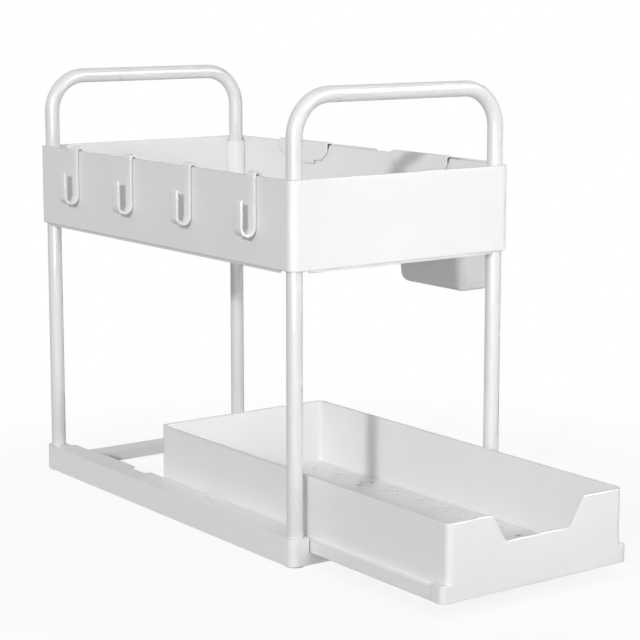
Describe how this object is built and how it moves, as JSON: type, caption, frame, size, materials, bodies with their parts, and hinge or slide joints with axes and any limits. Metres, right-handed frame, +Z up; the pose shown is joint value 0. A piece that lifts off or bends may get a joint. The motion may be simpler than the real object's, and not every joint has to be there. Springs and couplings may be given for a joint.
{
  "type": "pull out cabinet organiser",
  "caption": "Two-tier white cabinet organiser: a walled tray on posts with handles, hooks and hanging cups, over a base frame in which a walled drawer slides out.",
  "frame": {"origin": "on the surface that the feet stand on, under the middle of the whole object at rest, with the drawer 163 mm out", "axes": "+Z up; -Y is the front, the way the drawer pulls out; +X is the side of the hanging cups, -X the side of the hooks"},
  "size_m": [0.2898, 0.5678, 0.378],
  "materials": {
    "base_plastic": "satin white moulding",
    "drawer_plastic": "satin white moulding",
    "tray_plastic": "satin white moulding",
    "hook_plastic": "satin white moulding",
    "cup_plastic": "satin white moulding",
    "inner_plastic": "plain white moulding",
    "coated_steel": "smooth white powder coat",
    "rubber": "soft grey rubber"
  },
  "bodies": {
    "frame": {"base_frame": "base_plastic", "foot_front_left": "rubber", "foot_front_right": "rubber", "foot_rear_left": "rubber", "foot_rear_right": "rubber", "post_front_left": "coated_steel", "post_front_right": "coated_steel", "post_rear_left": "coated_steel", "post_rear_right": "coated_steel", "post_plug_front_left": "inner_plastic", "post_plug_front_right": "inner_plastic", "post_plug_rear_left": "inner_plastic", "post_plug_rear_right": "inner_plastic", "tray": "tray_plastic", "joiner_front_left": "inner_plastic", "joiner_front_right": "inner_plastic", "joiner_rear_left": "inner_plastic", "joiner_rear_right": "inner_plastic", "front_handle": "coated_steel", "rear_handle": "coated_steel"},
    "drawer": {"drawer": "drawer_plastic"},
    "hook_1": {"hook_1": "hook_plastic"},
    "hook_2": {"hook_2": "hook_plastic"},
    "hook_3": {"hook_3": "hook_plastic"},
    "hook_4": {"hook_4": "hook_plastic"},
    "front_cup": {"front_cup": "cup_plastic"},
    "rear_cup": {"rear_cup": "cup_plastic"}
  },
  "joints": [
    {"name": "drawer_slide", "type": "slide", "parent": "frame", "child": "drawer", "axis": [0, -1, 0], "range_m": [-0.1627, 0.0873]},
    {"name": "hook_1_slide", "type": "slide", "parent": "frame", "child": "hook_1", "axis": [0, 1, 0], "range_m": [-0.027, 0.04]},
    {"name": "hook_2_slide", "type": "slide", "parent": "frame", "child": "hook_2", "axis": [0, 1, 0], "range_m": [-0.04, 0.04]},
    {"name": "hook_3_slide", "type": "slide", "parent": "frame", "child": "hook_3", "axis": [0, 1, 0], "range_m": [-0.04, 0.04]},
    {"name": "hook_4_slide", "type": "slide", "parent": "frame", "child": "hook_4", "axis": [0, 1, 0], "range_m": [-0.04, 0.04]},
    {"name": "front_cup_slide", "type": "slide", "parent": "frame", "child": "front_cup", "axis": [0, 1, 0], "range_m": [-0.038, 0.038]},
    {"name": "rear_cup_slide", "type": "slide", "parent": "frame", "child": "rear_cup", "axis": [0, 1, 0], "range_m": [-0.038, 0.038]}
  ]
}
